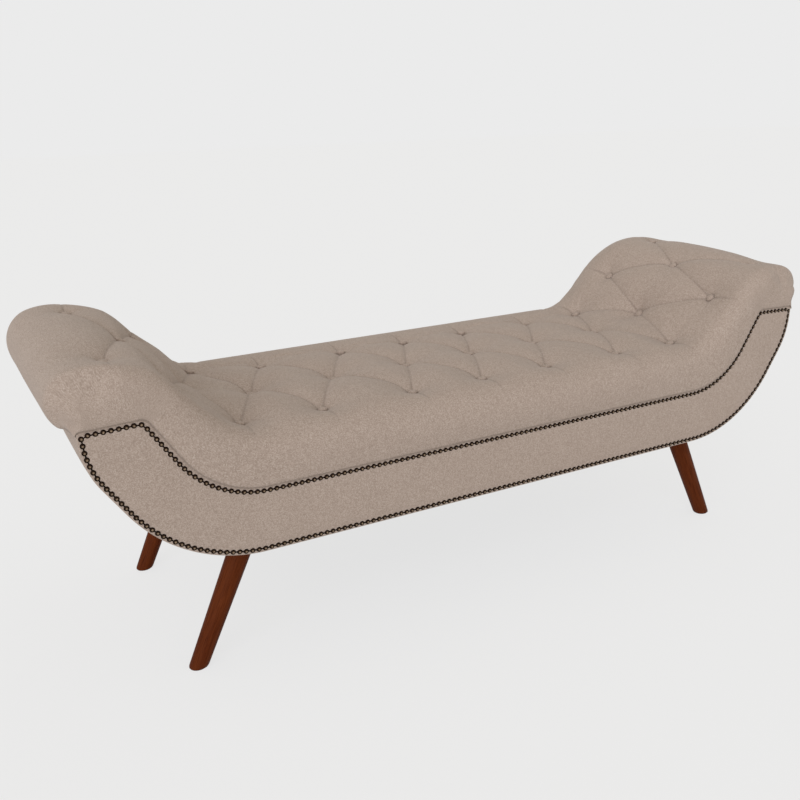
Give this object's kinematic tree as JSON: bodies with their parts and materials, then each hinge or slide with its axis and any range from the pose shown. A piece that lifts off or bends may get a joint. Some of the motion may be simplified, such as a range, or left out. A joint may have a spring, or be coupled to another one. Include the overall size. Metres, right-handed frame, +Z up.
{
  "type": "upholstered bench",
  "caption": "Backless upholstered bench with rolled arms, a deep-buttoned cushion running over seat and arms, nail-trimmed curved sides and splayed tapered wooden legs.",
  "frame": {"origin": "on the floor, under the middle of the bench", "axes": "+X along the bench, +Y from its front side to its back side, +Z up"},
  "size_m": [1.5596, 0.574, 0.6004],
  "materials": {
    "linen_cushion": "matt slub weave",
    "linen_cover": "matt slub weave",
    "linen_buttons": "matt slub weave",
    "nail_heads": "aged dark bronze, worn bright at the crowns",
    "leg_wood": "dark stain under satin lacquer",
    "rail_wood": "bare planed beech",
    "plywood": "bare birch plywood",
    "foam": "open-cell foam",
    "dust_cloth": "thin black felted cloth",
    "bolt_steel": "bright zinc plate"
  },
  "bodies": {
    "root": {"front_side_panel": "plywood", "front_panel_cover": "linen_cover", "front_nail_trim": "nail_heads", "back_side_panel": "plywood", "back_panel_cover": "linen_cover", "back_nail_trim": "nail_heads", "front_button_01": "linen_buttons", "front_button_02": "linen_buttons", "front_button_03": "linen_buttons", "front_button_04": "linen_buttons", "front_button_05": "linen_buttons", "front_button_06": "linen_buttons", "front_button_07": "linen_buttons", "front_button_08": "linen_buttons", "front_button_09": "linen_buttons", "front_button_10": "linen_buttons", "front_button_11": "linen_buttons", "middle_button_01": "linen_buttons", "middle_button_02": "linen_buttons", "middle_button_03": "linen_buttons", "middle_button_04": "linen_buttons", "middle_button_05": "linen_buttons", "middle_button_06": "linen_buttons", "middle_button_07": "linen_buttons", "middle_button_08": "linen_buttons", "middle_button_09": "linen_buttons", "middle_button_10": "linen_buttons", "back_button_01": "linen_buttons", "back_button_02": "linen_buttons", "back_button_03": "linen_buttons", "back_button_04": "linen_buttons", "back_button_05": "linen_buttons", "back_button_06": "linen_buttons", "back_button_07": "linen_buttons", "back_button_08": "linen_buttons", "back_button_09": "linen_buttons", "back_button_10": "linen_buttons", "back_button_11": "linen_buttons", "tufted_cushion": "linen_cushion", "foam_core": "foam", "seat_board": "plywood", "left_arm_board": "plywood", "left_arm_rail": "rail_wood", "left_leg_rail": "rail_wood", "left_end_cover": "linen_cover", "front_left_leg": "leg_wood", "front_left_hanger_bolt": "bolt_steel", "back_left_leg": "leg_wood", "back_left_hanger_bolt": "bolt_steel", "right_arm_board": "plywood", "right_arm_rail": "rail_wood", "right_leg_rail": "rail_wood", "right_end_cover": "linen_cover", "front_right_leg": "leg_wood", "front_right_hanger_bolt": "bolt_steel", "back_right_leg": "leg_wood", "back_right_hanger_bolt": "bolt_steel", "centre_rail": "rail_wood", "bottom_cover": "dust_cloth"}
  },
  "joints": []
}
